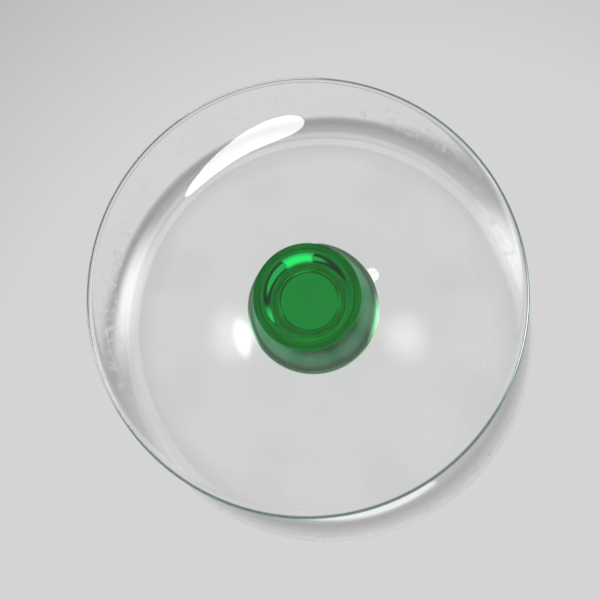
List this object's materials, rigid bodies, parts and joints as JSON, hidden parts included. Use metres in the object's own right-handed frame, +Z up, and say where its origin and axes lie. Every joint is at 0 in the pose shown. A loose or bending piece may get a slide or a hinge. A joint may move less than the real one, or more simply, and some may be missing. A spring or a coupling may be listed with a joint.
{
  "type": "sherbet glass",
  "caption": "Low stemmed dessert glass: clear, open, round bowl on a short waisted green stem and a clear disc foot. Holds sherbet, ice cream or a drink.",
  "frame": {"origin": "centre of the foot's underside, on the surface that the glass stands on", "axes": "+Z up along the axis of the glass, from the foot to the rim; X and Y lie in the surface it stands on"},
  "size_m": [0.09, 0.09, 0.085],
  "materials": {
    "foot_glass": "polished clear glass",
    "stem_glass": "polished emerald-green glass",
    "bowl_glass": "polished clear glass"
  },
  "bodies": {
    "root": {"foot": "foot_glass", "stem": "stem_glass", "bowl": "bowl_glass"}
  },
  "joints": []
}
